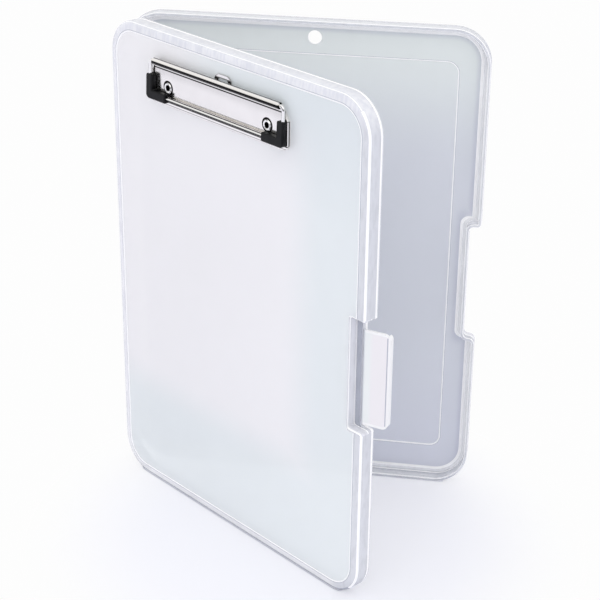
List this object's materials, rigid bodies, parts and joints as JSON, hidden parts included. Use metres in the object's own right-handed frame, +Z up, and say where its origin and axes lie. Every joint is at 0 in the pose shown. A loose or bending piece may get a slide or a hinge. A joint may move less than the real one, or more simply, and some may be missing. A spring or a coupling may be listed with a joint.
{
  "type": "storage clipboard box",
  "caption": "Clear plastic clipboard box that opens along its spine like a book, with a sprung wire clip on the cover and a hooked latch flap.",
  "frame": {"origin": "bottom centre of the bounding box, with the cover standing open as in the picture", "axes": "+Z up along the spine, +X across the back half from the spine to its free edge, the cover opens towards -Y"},
  "size_m": [0.2464, 0.168, 0.333],
  "materials": {
    "clear_plastic": "frosted faces, polished rims",
    "bright_plate": "bright nickel plate",
    "dull_steel": "plain",
    "black_rubber": "satin"
  },
  "bodies": {
    "back_half": {"back_shell": "clear_plastic", "spine_web": "clear_plastic"},
    "cover": {"cover_shell": "clear_plastic", "latch_web": "clear_plastic", "clip_base_plate": "bright_plate", "clip_rivets": "bright_plate", "rivet_washers": "dull_steel"},
    "latch": {"latch_flap": "clear_plastic"},
    "bail": {"clip_bail_wire": "bright_plate", "bail_grip_spine_side": "black_rubber", "bail_grip_free_side": "black_rubber"},
    "hanger": {"hang_tab": "bright_plate"}
  },
  "joints": [
    {"name": "cover_hinge", "type": "hinge", "parent": "back_half", "child": "cover", "pos_m": [-0.11743, 0.07226, 0.1665], "axis": [0, 0, 1], "range_deg": [-142, 38], "deforming": ["spine_web"]},
    {"name": "latch_hinge", "type": "hinge", "parent": "cover", "child": "latch", "pos_m": [0.06477, -0.07453, 0.157], "axis": [0, 0, 1], "range_deg": [-40, 70.6], "deforming": ["latch_web"]},
    {"name": "bail_hinge", "type": "hinge", "parent": "cover", "child": "bail", "pos_m": [-0.03966, -0.00751, 0.314], "axis": [-0.788, 0.6157, 0], "range_deg": [0, 75], "stiffness_Nm_per_rad": 0.15, "springref_deg": -57.3},
    {"name": "hang_tab_slide", "type": "slide", "parent": "cover", "child": "hanger", "axis": [0, 0, 1], "range_m": [0, 0.0107]}
  ]
}
